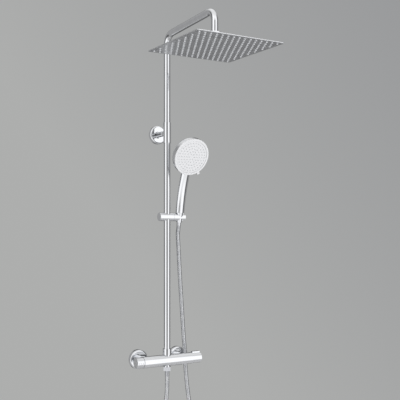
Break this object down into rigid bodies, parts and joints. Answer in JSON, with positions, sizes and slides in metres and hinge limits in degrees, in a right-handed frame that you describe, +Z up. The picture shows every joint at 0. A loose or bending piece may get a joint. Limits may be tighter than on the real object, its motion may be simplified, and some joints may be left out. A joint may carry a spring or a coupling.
{
  "type": "thermostatic rain shower set",
  "caption": "Wall-mounted chrome rain shower set: thermostatic bar valve, riser, swivel arm with a thin square rain head, sliding holder and hand shower on a hose.",
  "frame": {"origin": "on the wall plane, midway between the two water inlets at the height of the valve's axis", "axes": "+X to the right along the wall, +Y into the wall, +Z up; the room is on the -Y side"},
  "size_m": [0.3, 0.56, 1.5943],
  "materials": {
    "chrome": "polished",
    "steel": "satin",
    "brushed_steel": "polished",
    "hose_metal": "polished",
    "black_rubber": "matte",
    "brass": "satin",
    "ceramic": "matte",
    "white_plastic": "matte",
    "face_plastic": "gloss",
    "light_silicone": "matte",
    "grey_silicone": "matte"
  },
  "bodies": {
    "root": {"valve_body": "chrome", "wall_unions": "chrome", "wall_flanges": "chrome", "inlet_nuts": "chrome", "inlet_washers": "black_rubber", "check_valves": "white_plastic", "thermostat_housing": "white_plastic", "return_spring": "steel", "diverter_housing": "white_plastic", "fixed_disc": "ceramic", "hose_outlet": "chrome", "riser_nut": "chrome", "riser_seal": "black_rubber", "lower_riser": "chrome", "coupling_insert": "brass", "bracket_sleeve": "chrome", "bracket_base": "steel", "rosette": "chrome", "wall_screws": "steel", "grub_screw": "steel", "lower_ferrule": "steel", "hose": "hose_metal", "hose_hex_nut": "chrome"},
    "flow_handle": {"flow_handle": "chrome", "flow_screw": "steel", "flow_cap": "chrome", "flow_spindle": "brass", "turning_disc": "ceramic"},
    "temperature_handle": {"temperature_handle": "chrome", "temperature_screw": "steel", "temperature_cap": "chrome", "temperature_spindle": "white_plastic", "button_spring": "steel"},
    "safety_button": {"safety_button": "chrome"},
    "mixing_piston": {"mixing_piston": "brass", "wax_element": "brass"},
    "shower_arm": {"shower_arm": "chrome", "ball_nut": "chrome", "arm_washer": "black_rubber"},
    "ball_cup": {"ball_cup": "white_plastic"},
    "ball_liner": {"ball_liner": "white_plastic"},
    "rain_head": {"ball_stem": "brass", "head_cover": "brushed_steel", "face_plate": "brushed_steel", "nozzle_mat": "light_silicone"},
    "slider": {"slider_body": "chrome", "friction_pad": "black_rubber", "slider_cap": "chrome", "pivot_screw": "steel"},
    "handset_holder": {"handset_holder": "chrome"},
    "handset": {"handset_shell": "chrome", "handset_inlet": "white_plastic", "waterway": "white_plastic", "handset_face": "face_plastic", "handset_nozzles": "grey_silicone", "hose_cone_nut": "chrome", "upper_ferrule": "steel"},
    "spray_selector": {"spray_selector": "chrome"}
  },
  "joints": [
    {"name": "flow_turn", "type": "hinge", "parent": "root", "child": "flow_handle", "pos_m": [-0.1, -0.074, 0], "axis": [1, 0, 0], "range_deg": [-90, 90]},
    {"name": "temperature_turn", "type": "hinge", "parent": "root", "child": "temperature_handle", "pos_m": [0.1, -0.074, 0], "axis": [1, 0, 0], "range_deg": [-120, 60]},
    {"name": "safety_button_press", "type": "slide", "parent": "temperature_handle", "child": "safety_button", "axis": [0, 0, -1], "range_m": [0, 0.002], "stiffness_N_per_m": 1500, "springref_m": -0.002, "deforming": ["button_spring"]},
    {"name": "mixing_piston_slide", "type": "slide", "parent": "root", "child": "mixing_piston", "axis": [1, 0, 0], "range_m": [-0.0016, 0.0016]},
    {"name": "arm_swivel", "type": "hinge", "parent": "root", "child": "shower_arm", "pos_m": [0, -0.074, 0.79], "axis": [0, 0, 1], "range_deg": [-45, 45]},
    {"name": "head_tilt_front", "type": "hinge", "parent": "shower_arm", "child": "ball_cup", "pos_m": [0, -0.375, 1.015], "axis": [1, 0, 0], "range_deg": [-10, 10]},
    {"name": "head_tilt_side", "type": "hinge", "parent": "ball_cup", "child": "ball_liner", "pos_m": [0, -0.375, 1.015], "axis": [0, 1, 0], "range_deg": [-10, 10]},
    {"name": "head_spin", "type": "hinge", "parent": "ball_liner", "child": "rain_head", "pos_m": [0, -0.375, 1.015], "axis": [0, 0, 1], "range_deg": [-90, 90]},
    {"name": "slider_travel", "type": "slide", "parent": "root", "child": "slider", "axis": [0, 0, 1], "range_m": [-0.36, 0.225], "deforming": ["hose"]},
    {"name": "holder_tilt", "type": "hinge", "parent": "slider", "child": "handset_holder", "pos_m": [0.04, -0.074, 0.483], "axis": [1, 0, 0], "range_deg": [-5, 35]},
    {"name": "handset_lift", "type": "slide", "parent": "handset_holder", "child": "handset", "axis": [0, -0.1908, 0.9816], "range_m": [0, 0.08]},
    {"name": "spray_select", "type": "hinge", "parent": "handset", "child": "spray_selector", "pos_m": [0.046, -0.161, 0.679], "axis": [0, -0.9135, -0.4067], "range_deg": [0, 60]}
  ],
  "couplings": [
    {"joint": "mixing_piston_slide", "follows": "temperature_turn", "m_per_rad": 0.0007}
  ]
}
